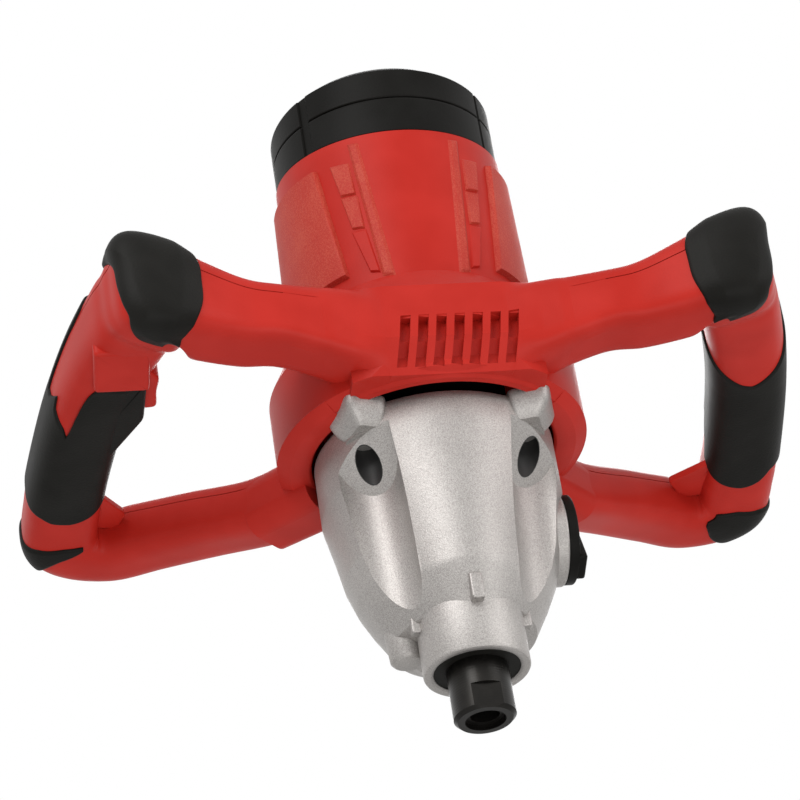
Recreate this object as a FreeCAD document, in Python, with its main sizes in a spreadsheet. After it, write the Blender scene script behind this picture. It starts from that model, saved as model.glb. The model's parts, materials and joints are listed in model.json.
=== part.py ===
"""Two-handled mixing drill, built as separate pieces.

The origin is the centre of the clamping collar's end face. Z runs up the spindle and the motor,
X runs from handle to handle and the front of the tool faces -Y. All lengths are millimetres.
"""
import math
import os

import FreeCAD
import Part
import Sketcher

doc = FreeCAD.newDocument("MixingDrill")
sheet = doc.addObject("Spreadsheet::Sheet", "Dims")
Vec = FreeCAD.Vector


class Size:
    """A length that knows its value and the sheet expression it comes from."""

    def __init__(self, value, text):
        self.value = float(value)
        self.text = text

    def join(self, other, sign, value):
        return Size(value, f"({self.text} {sign} {size(other).text})")

    def __add__(self, other):
        return self.join(other, "+", self.value + size(other).value)

    def __sub__(self, other):
        return self.join(other, "-", self.value - size(other).value)

    def __mul__(self, other):
        return self.join(other, "*", self.value * size(other).value)

    def __truediv__(self, other):
        return self.join(other, "/", self.value / size(other).value)

    def __radd__(self, other):
        return size(other) + self

    def __rsub__(self, other):
        return size(other) - self

    def __rmul__(self, other):
        return size(other) * self

    def __neg__(self):
        return self * -1


def size(given):
    """A plain number becomes a constant Size."""
    if isinstance(given, Size):
        return given
    return Size(given, f"({given:.6g})")


class Dims:
    """Every driving dimension, one named cell each."""

    def __init__(self):
        self.row = 0

    def add(self, **values):
        for name, value in values.items():
            self.row += 1
            sheet.set(f"A{self.row}", name)
            sheet.set(f"B{self.row}", f"{value:.6g}")
            sheet.setAlias(f"B{self.row}", name)
            setattr(self, name, Size(value, f"Dims.{name}"))


d = Dims()
d.add(running_gap=0.05, clearance=0.3, wall=3.0, motor_offset=14.83)
d.add(collar_radius=21.5, collar_bore=17.5, collar_land=12, collar_length=24, spindle_radius=12.5,
      spindle_reach=21.33, flat_width=22, thread_radius=6, thread_depth=26, entry_radius=8.2, entry_depth=2.5)
d.add(bearing_width=10, bearing_bore=8.5, shaft_radius=8, journal_radius=6, end_bearing_radius=14)
d.add(first_module=0.9, first_pinion=8, first_gear=46, second_module=1, low_pinion=9, low_gear=46,
      high_pinion=14, high_gear=41, gear_width=9)
d.add(high_level=51, sleeve_level=66, sleeve_height=12, sleeve_radius=14.5, dog_height=2.5,
      selector_travel=3.2, layshaft_radius=4, layshaft_foot=15.5)
d.add(selector_level=67, knob_radius=20, knob_seat=50.3, knob_height=6)
d.add(bowl_radius=50, rim_level=111, boss_level=118.6, screw_x=34.2, screw_y=29.63, screw_hole=5.35)
d.add(middle_level=91, middle_thickness=7, plate_thickness=4, hub_radius=14.5, bracket_thickness=6)
d.add(lip_level=110, ring_radius=65, barrel_radius=50.7, neck_radius=49, shoulder_low=142,
      shoulder_high=170, cap_level=252.5, cap_radius=47.8, cap_top=284, cap_bevel=4.5, cap_tilt=8.5)
d.add(motor_shaft=5, pinion_level=100.5, core_level=149, core_height=55, core_radius=22,
      air_gap=0.5, stator_radius=39, fan_level=124, fan_radius=37.5, commutator_level=214,
      commutator_height=20, commutator_radius=14)
d.add(grip_skin=1.2, bumper_skin=3, handle_wall=3.2, cover_share=0.28)

PARTS = []


def keep(piece, label):
    """Names a finished piece, which becomes a file of that name."""
    piece.Label = label
    PARTS.append(piece)
    return piece


def bind(thing, **sizes):
    for name, given in sizes.items():
        thing.setExpression(name.replace("__", "."), size(given).text)


def place(thing, x=0, y=0, z=0):
    bind(thing, Placement__Base__x=x, Placement__Base__y=y, Placement__Base__z=z)
    return thing


ROUND_X = FreeCAD.Rotation(Vec(0, 1, 0), 90)


def rod(radius, height, x=0, y=0, z=0, along_x=False):
    """A cylinder standing on (x, y, z), along Z or along X."""
    made = doc.addObject("Part::Cylinder", "Rod")
    bind(made, Radius=radius, Height=height)
    if along_x:
        made.Placement.Rotation = ROUND_X
    return place(made, x, y, z)


def block(length, width, height, x=0, y=0, z=0):
    """A box whose lowest corner is (x, y, z)."""
    made = doc.addObject("Part::Box", "Block")
    bind(made, Length=length, Width=width, Height=height)
    return place(made, x, y, z)


def cut(base, *tools):
    for tool in tools:
        made = doc.addObject("Part::Cut", "Cut")
        made.Base = base
        made.Tool = tool
        base = made
    return base


def fuse(*pieces):
    made = doc.addObject("Part::MultiFuse", "Fuse")
    made.Shapes = list(pieces)
    return made


def common(first, second):
    made = doc.addObject("Part::Common", "Common")
    made.Base = first
    made.Tool = second
    return made


def feature(shape):
    """A shape that is drawn in code from sheet values."""
    made = doc.addObject("Part::Feature", "Form")
    made.Shape = shape
    return made


def mirrored(piece):
    """The same piece on the other side of the tool."""
    made = doc.addObject("Part::Mirroring", "Mirror")
    made.Source = piece
    made.Normal = Vec(1, 0, 0)
    return made


def turned(rows, x=0, y=0, z=0):
    """A turned piece: its outline is (radius, height) rows, heights counted from its own foot."""
    body = doc.addObject("PartDesign::Body", "Turned")
    sketch = body.newObject("Sketcher::SketchObject", "Outline")
    plane = [p for p in body.Origin.OriginFeatures if p.Role == "XZ_Plane"][0]
    sketch.AttachmentSupport = [(plane, "")]
    sketch.MapMode = "FlatFace"
    rows = [(size(radius), size(height)) for radius, height in rows]
    count = len(rows)
    for k in range(count):
        here, there = rows[k], rows[(k + 1) % count]
        sketch.addGeometry(Part.LineSegment(Vec(here[0].value, here[1].value, 0),
                                            Vec(there[0].value, there[1].value, 0)), False)
    for k in range(count):
        sketch.addConstraint(Sketcher.Constraint("Coincident", k, 2, (k + 1) % count, 1))
    for k, (radius, height) in enumerate(rows):
        for kind, axis, given in (("DistanceX", -2, radius), ("DistanceY", -1, height)):
            if given.value == 0:
                sketch.addConstraint(Sketcher.Constraint("PointOnObject", k, 1, axis))
                continue
            index = sketch.addConstraint(Sketcher.Constraint(kind, -1, 1, k, 1, given.value))
            sketch.setExpression(f"Constraints[{index}]", given.text)
    spin = body.newObject("PartDesign::Revolution", "Spin")
    spin.Profile = sketch
    spin.ReferenceAxis = (sketch, ["V_Axis"])
    spin.Angle = 360
    return place(body, x, y, z)


def ring(outer, inner, height, x=0, y=0, z=0):
    return turned([(inner, 0), (outer, 0), (outer, height), (inner, height)], x, y, z)


def gear_face(teeth, module, shift, turn):
    """A spur gear's outline: involute flanks at a 25 degree pressure angle, thinned for backlash."""
    alpha = math.radians(25)
    pitch = module * teeth / 2
    base = pitch * math.cos(alpha)
    tip = pitch + module * (0.85 + shift)
    root = pitch - module * (1.1 - shift)
    half = (math.pi / 2 + 2 * shift * math.tan(alpha)) / teeth - 0.06 / pitch
    start = max(base, root)
    flank = [start + (tip - start) * k / 4 for k in range(5)]

    def lean(radius):
        roll = math.acos(min(1, base / radius))
        return half + math.tan(alpha) - alpha - (math.tan(roll) - roll)

    side = [(radius, lean(radius)) for radius in flank]
    if root < base:
        side.insert(0, (root, lean(base)))
    points = []
    for k in range(teeth):
        middle = turn + 2 * math.pi * k / teeth
        for radius, angle in [(r, -a) for r, a in side] + side[::-1]:
            points.append(Vec(radius * math.cos(middle + angle), radius * math.sin(middle + angle), 0))
    return Part.Face(Part.makePolygon(points + points[:1]))


def gear(teeth, module, shift, turn, height, bore, x, y, z):
    """A gear of the given height standing on (x, y, z), bored through."""
    solid = gear_face(int(teeth.value), module.value, shift, turn).extrude(Vec(0, 0, height.value))
    if bore.value:
        solid = solid.cut(Part.makeCylinder(bore.value, height.value))
    return place(feature(solid), x, y, z)


# The gear train. The motor shaft drives the layshaft, which drives the spindle in two speeds.
zero = size(0)
first_distance = d.first_module * (d.first_pinion + d.first_gear) / 2
second_distance = d.second_module * (d.low_pinion + d.low_gear) / 2
lay_y = (second_distance * second_distance - first_distance * first_distance
         + d.motor_offset * d.motor_offset) / (2 * d.motor_offset)
lay_x = Size(-math.sqrt(second_distance.value ** 2 - lay_y.value ** 2),
             f"(-sqrt({second_distance.text} ^ 2 - {lay_y.text} ^ 2))")
to_motor = math.atan2(d.motor_offset.value - lay_y.value, -lay_x.value)
to_spindle = math.atan2(-lay_y.value, -lay_x.value)
low_level = d.sleeve_level + d.sleeve_height + 0.2
PINION_SHIFT = 0.35


def meshing(teeth, toward):
    """The turn that puts a gap of this gear on the line toward its partner."""
    return toward + math.pi / int(teeth.value)


# Spindle: wrench flats and a threaded socket below, a splined middle, a bearing seat at the top.
seat = size(9.5)
spindle_top = d.middle_level + d.middle_thickness
spindle_blank = turned(
    [(0, 0), (d.spindle_radius - 1.5, 0), (d.spindle_radius, 1.5),
     (d.spindle_radius, d.spindle_reach + seat), (d.bearing_bore, d.spindle_reach + seat),
     (d.bearing_bore, d.spindle_reach + seat + d.bearing_width + 2),
     (d.shaft_radius + 2, d.spindle_reach + seat + d.bearing_width + 2),
     (d.shaft_radius + 2, d.spindle_reach + d.high_level - 0.3),
     (d.shaft_radius, d.spindle_reach + d.high_level - 0.3),
     (d.shaft_radius, d.spindle_reach + d.middle_level - 1),
     (d.journal_radius, d.spindle_reach + d.middle_level - 1),
     (d.journal_radius, d.spindle_reach + spindle_top), (0, d.spindle_reach + spindle_top)],
    0, 0, -d.spindle_reach)
spline_foot = d.high_level + d.gear_width + 0.4
splines = [block(3.2, 4, low_level - spline_foot - 0.4, x, -2, spline_foot) for x in (6.4, -9.6)]
flats = [block(60, 20, 11.5, -30, y, -d.spindle_reach - 0.5)
         for y in (d.flat_width / 2, -d.flat_width / 2 - 20)]
keep(cut(fuse(spindle_blank, *splines), *flats,
         rod(d.thread_radius, d.thread_depth, 0, 0, -d.spindle_reach),
         rod(d.entry_radius, d.entry_depth, 0, 0, -d.spindle_reach)), "spindle")

keep(ring(d.collar_bore, d.spindle_radius + d.running_gap, 6.5, 0, 0, 1.2), "spindle_seal")
keep(ring(d.collar_bore, d.bearing_bore + d.running_gap, d.bearing_width, 0, 0, seat + 0.3),
     "spindle_lower_bearing")
keep(ring(d.end_bearing_radius, d.journal_radius + d.running_gap, d.middle_thickness, 0, 0,
          d.middle_level), "spindle_upper_bearing")


def dogs(height, half_angle, z):
    """Three coupling dogs, each a wedge of a ring about the spindle."""
    wedges = []
    for k in range(3):
        wedge = doc.addObject("Part::Cylinder", "Dog")
        wedge.Angle = 2 * half_angle
        wedge.Placement = FreeCAD.Placement(Vec(), FreeCAD.Rotation(Vec(0, 0, 1), 60 + 120 * k - half_angle))
        bind(wedge, Radius=d.sleeve_radius - 0.5, Height=height)
        wedges.append(place(wedge, 0, 0, z))
    return cut(fuse(*wedges), rod(d.shaft_radius + 2.2, height, 0, 0, z))


gear_bore = d.shaft_radius + d.running_gap
low_turn = meshing(d.low_gear, to_spindle + math.pi)
keep(cut(gear(d.low_gear, d.second_module, -PINION_SHIFT, low_turn, d.gear_width, gear_bore, 0, 0, low_level),
         dogs(d.dog_height + 0.3, 19, low_level)), "low_gear")
high_turn = meshing(d.high_gear, to_spindle + math.pi)
keep(cut(gear(d.high_gear, d.second_module, 0, high_turn, d.gear_width, gear_bore, 0, 0, d.high_level),
         dogs(d.dog_height + 0.3, 19, d.high_level + d.gear_width - d.dog_height - 0.3)), "high_gear")

groove_level = d.sleeve_level + d.sleeve_height / 2
sleeve_blank = turned(
    [(gear_bore, 0), (d.sleeve_radius, 0), (d.sleeve_radius, d.sleeve_height / 2 - 2.3),
     (d.sleeve_radius - 3, d.sleeve_height / 2 - 2.3), (d.sleeve_radius - 3, d.sleeve_height / 2 + 2.3),
     (d.sleeve_radius, d.sleeve_height / 2 + 2.3), (d.sleeve_radius, d.sleeve_height),
     (gear_bore, d.sleeve_height)], 0, 0, d.sleeve_level)
keep(cut(fuse(sleeve_blank, dogs(d.dog_height, 14, d.sleeve_level + d.sleeve_height),
              dogs(d.dog_height, 14, d.sleeve_level - d.dog_height)),
         block(19.8, 4.4, d.sleeve_height + 8, -9.9, -2.2, d.sleeve_level - 4)), "shift_sleeve")

# Layshaft: two pinions cut on the shaft and the large first gear pressed on above them.
lay = (lay_x, lay_y)
gear_low, gear_high = d.pinion_level, d.pinion_level + d.gear_width - 1.5
lay_top = d.rim_level + 0.5
keep(fuse(rod(d.layshaft_radius, gear_low - d.layshaft_foot - 1, *lay, d.layshaft_foot),
          rod(d.layshaft_radius - 1, lay_top - gear_low + 1, *lay, gear_low - 1),
          gear(d.low_pinion, d.second_module, PINION_SHIFT, to_spindle, d.gear_width + 1, zero, *lay,
               low_level - 0.5),
          gear(d.high_pinion, d.second_module, 0, to_spindle, d.gear_width + 1, zero, *lay,
               d.high_level - 0.5)), "layshaft")
keep(gear(d.first_gear, d.first_module, -PINION_SHIFT, meshing(d.first_gear, to_motor),
          gear_high - gear_low, d.layshaft_radius - 1, *lay, gear_low), "layshaft_gear")
keep(ring(d.layshaft_radius + 2, d.layshaft_radius + d.running_gap, 10, *lay, d.layshaft_foot + 2),
     "layshaft_lower_bush")
keep(ring(8, d.layshaft_radius - 1 + d.running_gap, d.plate_thickness, *lay, d.rim_level - 3),
     "layshaft_upper_bearing")

# Motor axis pieces.
motor = (zero, d.motor_offset)
cap_foot = d.cap_level
keep(fuse(rod(d.motor_shaft, 32, *motor, d.rim_level + 0.5),
          rod(d.motor_shaft - 1, d.rim_level + 1 - gear_high, *motor, gear_high),
          rod(d.motor_shaft, d.commutator_level + 36 - d.rim_level - 32, *motor, d.rim_level + 32),
          gear(d.first_pinion, d.first_module, PINION_SHIFT, to_motor + math.pi, gear_high - gear_low + 0.6,
               zero, *motor, gear_low - 0.3)), "armature_shaft")
core_slots = []
for k in range(12):
    slot = rod(2.6, d.core_height + 2, z=d.core_level - 1)
    bind(slot, Placement__Base__x=(d.core_radius - 2) * math.cos(k * math.pi / 6),
         Placement__Base__y=d.motor_offset + (d.core_radius - 2) * math.sin(k * math.pi / 6))
    core_slots.append(slot)
core_blank = ring(d.core_radius, d.motor_shaft, d.core_height, *motor, d.core_level)
keep(cut(core_blank, *core_slots), "armature_core")
for name, level in (("lower", d.core_level - 8), ("upper", d.core_level + d.core_height)):
    keep(turned([(d.motor_shaft, 0), (d.core_radius - 6, 0), (d.core_radius - 3, 3), (d.core_radius - 3, 8),
                 (d.motor_shaft, 8)] if name == "lower" else
                [(d.motor_shaft, 0), (d.core_radius - 3, 0), (d.core_radius - 3, 5), (d.core_radius - 6, 8),
                 (d.motor_shaft, 8)], *motor, level), f"armature_winding_{name}")
keep(ring(d.commutator_radius, d.motor_shaft, d.commutator_height, *motor, d.commutator_level), "commutator")

fan_disc = turned([(d.motor_shaft, 0), (9, 0), (9, 0.5), (d.fan_radius, 0.5), (d.fan_radius, 2.5), (9, 2.5),
                   (9, 12), (d.motor_shaft, 12)], *motor, d.fan_level)
blades = []
for k in range(11):
    turn = 2 * math.pi * k / 11
    blade = block(d.fan_radius - 16, 1.6, 9)
    blade.Placement.Rotation = FreeCAD.Rotation(Vec(0, 0, 1), math.degrees(turn))
    blades.append(place(blade, 15 * math.cos(turn) + 0.8 * math.sin(turn),
                        d.motor_offset + 15 * math.sin(turn) - 0.8 * math.cos(turn), d.fan_level + 2.5))
keep(fuse(fan_disc, *blades), "fan")

# Gearbox housing. Its bowl is turned about the motor axis and its front stands about the spindle.
screws = [(side * d.screw_x, d.motor_offset + end * d.screw_y) for side in (1, -1) for end in (-1, 1)]
FRONT = {
    111: (-35.2, (23.5, -29.4), (30, -25.2), (36, -20), (45.3, -7), (50, 12)),
    100: (-34.4, (23.3, -27.6), (30, -24.2), (36, -18.9), (45, -6), (49.6, 12)),
    86: (-32.6, (22.5, -22.8), (27.5, -11.5), (33, -8.8), (43.5, -3.5), (47.5, 12)),
    60: (-30, (21, -20.7), (25.5, -9.5), (30.5, -8.5), (40.5, -3), (44, 12)),
    37: (-27.5, (19.5, -18.6), (22.5, -9), (26.5, -8.5), (33, -3.5), (36.5, 12)),
    23: (-22.2, (15.2, -15.2), (18, -9), (20.5, -8), (24, -3), (26.5, 12)),
}


def front_outline(level):
    """One level of the gearbox front: a bowed panel, then on each side a scoop and a column."""
    panel, *corners = FRONT[level]
    scale = d.bowl_radius.value / 50
    right = [Vec(x * scale, y * scale, level) for x, y in corners]
    left = [Vec(-p.x, p.y, p.z) for p in right]
    edges = [Part.Arc(left[0], Vec(0, panel * scale, level), right[0]).toShape()]
    path = right + left[::-1]
    edges += [Part.makeLine(a, b) for a, b in zip(path, path[1:])]
    return Part.Wire(edges)


FRONT_DEPTH = -2
front = feature(Part.makeLoft([front_outline(level) for level in sorted(FRONT)], True, True))
bowl = turned([(0, 0), (24, 0), (29.5, 1.5), (36.7, 14.4), (41, 23.4), (44.5, 34.2), (47, 48.8),
               (d.bowl_radius, 63.7), (d.bowl_radius, d.rim_level - 20), (0, d.rim_level - 20)], *motor, 20)
collar = fuse(rod(d.collar_radius, d.collar_land), rod(d.collar_radius - d.clearance, d.collar_length))
bowl = cut(bowl, block(140, 60, 78, -70, FRONT_DEPTH - 60, 18))
bosses = [rod(8.2, d.boss_level - 96, x, y, 96) for x, y in screws]
selector_boss = rod(d.knob_radius - 0.8, d.knob_seat - 25, 25, d.motor_offset, d.selector_level, along_x=True)
lay_boss = turned([(0, 0), (6, 0), (7.2, 1.2), (9, 26), (0, 26)], *lay, 12.7)
rib = block(5.5, 9, 11, -2.75, -26.5, 20)
ears = [block(4.5, 5, 5, x, -5, 17) for x in (20, -24.5)]
cavity = turned([(0, 0), (22, 0), (31.5, 18), (31.5, 73), (46.3, 73), (46.3, d.rim_level - 25),
                 (0, d.rim_level - 25)], *motor, 26)
spindle_room = turned([(0, 0), (20, 0), (26.6, 74), (0, 74)], 0, 0, 25)
gearbox = cut(fuse(bowl, front, collar, selector_boss, lay_boss, rib, *bosses, *ears), cavity, spindle_room,
              rod(d.collar_bore, seat + d.bearing_width + 0.3),
              rod(13.5, 30, 0, 0, seat + d.bearing_width),
              rod(10, 55, *lay, 44),
              rod(d.layshaft_radius + 2, 30, *lay, d.layshaft_foot),
              rod(9.5, 20, 16, d.motor_offset, d.selector_level, along_x=True),
              rod(5.05, 40, 16, d.motor_offset, d.selector_level, along_x=True),
              rod(46.3, 12, *motor, d.rim_level))
for x, y in screws:
    gearbox = cut(gearbox, rod(2.3, 60, x, y, 70), rod(d.screw_hole, 83, x, y, 22))
keep(gearbox, "gearbox_housing")
keep(fuse(*[fuse(rod(4.4, 4, x, y, 101), rod(2.1, 41, x, y, 104.5)) for x, y in screws]), "gearbox_screws")

middle = fuse(rod(31.2, d.middle_thickness, *motor, d.middle_level),
              rod(25.8, d.middle_thickness, 0, 0, d.middle_level))
keep(cut(middle, rod(d.end_bearing_radius, 30, 0, 0, 80), rod(6, 30, *lay, 80), rod(3, 30, 19, 24, 80)),
     "middle_plate")
keep(rod(3, d.middle_level + d.middle_thickness - 46, 19, 24, 46), "fork_rod")

bearing_level = d.rim_level + 2
plate = fuse(rod(46.2, d.plate_thickness, *motor, d.rim_level - 3),
             rod(d.hub_radius, 10.5, *motor, d.rim_level - 2))
keep(cut(plate, *[rod(8.5, 40, x, y, 90) for x, y in screws], rod(11, 10, *motor, bearing_level),
         rod(6.5, 30, *motor, 100), rod(8, 20, *lay, 100)), "bearing_plate")
keep(ring(11, d.motor_shaft + d.running_gap, 6.5, *motor, bearing_level), "armature_lower_bearing")

# Gear selector: a knob with an eccentric pin, and the fork that the pin carries along its rod.
pin_reach = d.selector_travel / math.sin(math.pi / 4)
pin_level = d.selector_level + d.selector_travel
knob = fuse(rod(d.knob_radius, 5, d.knob_seat + 0.3, d.motor_offset, d.selector_level, along_x=True),
            block(d.knob_height, 2 * d.knob_radius - 4, 11, d.knob_seat + 4,
                  d.motor_offset - d.knob_radius + 2, d.selector_level - 5.5))
keep(fuse(knob, rod(5, d.knob_seat - 32, 33, d.motor_offset, d.selector_level, along_x=True),
          rod(8.5, 2.6, 31, d.motor_offset, d.selector_level, along_x=True),
          rod(2.5, 8, 24, d.motor_offset + d.selector_travel, pin_level, along_x=True)), "selector_knob")
jaw_radius = d.sleeve_radius - 2.7
jaw = cut(rod(d.sleeve_radius + 4, 4, 0, 0, groove_level - 2), rod(jaw_radius, 4, 0, 0, groove_level - 2),
          block(60, 60, 8, -30, -60, groove_level - 4))
fork = fuse(jaw, block(15, 20.5, 4, 12, 8, groove_level - 2), block(4.5, 15.5, 13, 24.5, 8, groove_level - 9))
sleeve_rooms = [rod(d.sleeve_radius + d.clearance, 20, 0, 0, groove_level + z) for z in (2, -22)]
keep(cut(fork, block(10, 14, 5.8, 23, d.motor_offset - 5, pin_level - 2.9), rod(3.05, 60, 19, 24, 40),
         *sleeve_rooms, rod(jaw_radius, 40, 0, 0, groove_level - 20)), "shift_fork")

# Motor housing: a turned shell, the front bridge with its vents, and sockets for the handle arms.
TILT = FreeCAD.Rotation(Vec(1, 0, 0), d.cap_tilt.value)


def slab(level, thickness):
    """A tilted layer across the motor axis, lower at the front, starting at this level on the axis."""
    made = block(240, 240, thickness)
    corner = TILT.multVec(Vec(-120, -120, 0))
    made.Placement.Rotation = TILT
    return place(made, corner.x, d.motor_offset + corner.y, level + corner.z)


barrel_top = d.cap_level + 14 - d.lip_level
shell_outer = [(d.ring_radius - 5, 0), (d.ring_radius, 3), (d.ring_radius, d.shoulder_low - d.lip_level),
               (d.barrel_radius, d.shoulder_high - d.lip_level), (d.neck_radius, barrel_top)]
shell_inner = [(radius - d.wall, height) for radius, height in shell_outer]
shell = turned([*shell_outer, *shell_inner[::-1]], *motor, d.lip_level)
funnel = turned([(d.ring_radius - 6, 0), (d.ring_radius - 2, 3), (d.ring_radius - 2, 15),
                 (d.bowl_radius + 2, 12), (d.bowl_radius + 2, 9)], *motor, d.lip_level)
outlet = block(58, 40, 14, -29, -58, d.lip_level - 1)
room = turned([(0, 0), *shell_inner, (0, barrel_top)], *motor, d.lip_level)

panel_plan = [Vec(-40, y, z) for y, z in ((-47, 111), (-55, 124), (-52, 151), (-25, 153), (-25, 111))]
panel = common(feature(Part.Face(Part.makePolygon(panel_plan + panel_plan[:1])).extrude(Vec(80, 0, 0))),
               rod(d.ring_radius + 5, 60, *motor, 100))

# Handle loop, from the front arm round the grip to the rear arm: position, heading, width, height.
LOOP = [
    (66, -47.5, 137, 0, 29, 27), (82, -49, 138.5, -8, 30, 29),
    (99, -54, 141.5, -12, 31, 34), (116, -62, 146, 40, 37, 43), (126, -42, 147, 68, 34, 38),
    (134.5, -15, 147, 75, 33, 34), (142, 15, 145, 79, 33, 32), (148, 50, 141, 83, 34, 30),
    (151, 82, 136, 92, 34, 29), (147, 104, 132, 128, 34, 28), (130, 112, 130, 188, 30, 27),
    (112, 102, 128, 212, 29, 27), (90, 85, 123, 219, 28, 26), (66, 63, 116, 224, 27, 25),
]


def loop_section(row, grow, lift=None):
    """A rounded rectangle square to the loop, grown all round, or only its top share as a plain box."""
    x, y, z, heading, width, height = row
    turn = math.radians(heading)
    across = Vec(math.sin(turn), -math.cos(turn), 0)
    half, top, foot = width / 2 + grow, height / 2 + grow, -height / 2 - grow
    corner = max(2.0, 0.3 * height + grow)
    if lift is not None:
        half, foot, top, corner = half + 1.5, height / 2 - lift * height, height / 2 + 3, 2.0
    middle = Vec(x, y, z)

    def at(side, level):
        return middle + across * side + Vec(0, 0, level)

    bend = corner * (1 - math.sqrt(0.5))
    ends = [at(half, foot + corner), at(half, top - corner), at(half - corner, top),
            at(corner - half, top), at(-half, top - corner), at(-half, foot + corner),
            at(corner - half, foot), at(half - corner, foot)]
    bends = [at(half - bend, top - bend), at(bend - half, top - bend), at(bend - half, foot + bend),
             at(half - bend, foot + bend)]
    edges = []
    for k in range(4):
        edges.append(Part.makeLine(ends[2 * k], ends[2 * k + 1]))
        edges.append(Part.Arc(ends[2 * k + 1], bends[k], ends[(2 * k + 2) % 8]).toShape())
    return Part.Wire(edges)


def between(a, b, c, e):
    """The row halfway from b to c on a smooth curve through four rows."""
    return tuple((9 * (q + r) - p - s) / 16 for p, q, r, s in zip(a, b, c, e))


def smooth(rows):
    """Adds a row between each two, so that the loop bends evenly."""
    ends = [rows[0], *rows, rows[-1]]
    fine = []
    for k, row in enumerate(rows[:-1]):
        fine += [row, between(*ends[k:k + 4])]
    return fine + [rows[-1]]


def loop_solid(grow, rows, lift=None):
    return feature(Part.makeLoft([loop_section(row, grow, lift) for row in smooth(rows)], True, True))


loop = loop_solid(0, LOOP)
lid_room = loop_solid(0, LOOP, d.cover_share.value)
hollow = loop_solid(-d.handle_wall.value, LOOP[1:-1])
vents = []
for k in range(7):
    slot = block(4.6, 12, 21.5, 7.4 * (k - 3) - 0.5, -60, 113.5)
    slot.Placement.Rotation = FreeCAD.Rotation(Vec(0, 1, 0), 10)
    vents.append(slot)
posts = [rod(6, 60, x, y, d.boss_level) for x, y in screws]
roots = [loop_solid(0, [(24, -37, 132, 0, 32, 36), LOOP[0]]),
         loop_solid(1, [LOOP[-1], (42, 40, 115, 224, 29, 26)])]
roots += [mirrored(root) for root in roots]
rib_length = d.barrel_radius - d.stator_radius - 1.4
ribs = [block(rib_length, 8, d.core_height, x, d.motor_offset - 4, d.core_level)
        for x in (d.stator_radius, -d.stator_radius - rib_length)]
ribs += [block(8, rib_length, d.core_height, -4, y, d.core_level)
         for y in (d.motor_offset + d.stator_radius, d.motor_offset - d.stator_radius - rib_length)]
gearbox_room = fuse(rod(d.bowl_radius + 1.5, 30, *motor, d.boss_level - 30),
                    *[rod(9, 30, x, y, d.boss_level - 30) for x, y in screws])
housing = fuse(cut(fuse(shell, panel, *roots), room), cut(funnel, outlet))
housing = cut(housing, gearbox_room)
housing = fuse(housing, *[common(post, room) for post in posts], *ribs)
housing = cut(housing, *vents, slab(d.cap_level, 80),
              *[rod(2.1, 40, x, y, d.boss_level - 1) for x, y in screws])
keep(housing, "motor_housing")

# End cap: a cup with tilted faces, slotted for the cooling air.
cap_blank = turned([(0, 0), (d.cap_radius, 0), (d.cap_radius, d.cap_top - d.cap_bevel - 230),
                    (d.cap_radius - d.cap_bevel, d.cap_top - 230), (0, d.cap_top - 230)], *motor, 230)
cap_cup = common(cap_blank, slab(d.cap_level, 80))
cap_room = rod(d.cap_radius - 3, d.cap_top - 3.5 - 230, *motor, 230)
cap_slots = [block(2 * reach, 3.4, 30, -reach, d.motor_offset + y, d.cap_top - 8)
             for y, reach in ((-25, 26), (-17, 32), (-9, 36), (-1, 37), (7, 36), (15, 32), (23, 26))]
keep(cut(cap_cup, cap_room, *cap_slots), "end_cap")
bracket_level = d.commutator_level + d.commutator_height + 4
windows = [rod(9, 20, x, d.motor_offset + y, bracket_level - 1)
           for x, y in ((28, 0), (-28, 0), (0, 28), (0, -28))]
keep(cut(rod(d.neck_radius - d.wall - 0.2, d.bracket_thickness, *motor, bracket_level),
         rod(11, 20, *motor, bracket_level - 1), *windows), "bearing_bracket")
keep(ring(11, d.motor_shaft + d.running_gap, d.bracket_thickness, *motor, bracket_level),
     "armature_upper_bearing")

# Stator: laminated core with four winding slots and two field coils round its poles.
bore = d.core_radius + d.air_gap
coil_slots = [block(11, 5, d.core_height, x, d.motor_offset + y, d.core_level)
              for x in (11, -22) for y in (25.5, -30.5)]
keep(cut(ring(d.stator_radius, bore, d.core_height, *motor, d.core_level), *coil_slots), "stator_core")
for name, y in (("front", -30.5), ("rear", 25.5)):
    coil = cut(block(44, 5, d.core_height + 18, -22, d.motor_offset + y, d.core_level - 9),
               block(22, 8, d.core_height, -11, d.motor_offset + y - 1, d.core_level))
    keep(coil, f"field_coil_{name}")

# Carbon brushes in their holders, one on each side of the commutator.
brush_level = d.commutator_level + 5
for name, side in (("right", 1), ("left", -1)):
    reach = d.commutator_radius + 0.2
    inner = reach if side > 0 else -reach - 16
    outer = reach + 2 if side > 0 else -reach - 27
    keep(block(16, 6, 9, inner, d.motor_offset - 3, brush_level), f"brush_{name}")
    keep(cut(block(25, 10, 13, outer, d.motor_offset - 5, brush_level - 2),
             block(40, 6, 9, 0 if side > 0 else -40, d.motor_offset - 3, brush_level)),
         f"brush_holder_{name}")

# Handles: a deep lower shell and a lid each, with rubber grips and corner bumpers.
def largest(shape):
    """The main solid of a shape, without crumbs from its corners."""
    return feature(max(shape.Solids, key=lambda solid: solid.Volume))


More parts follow.
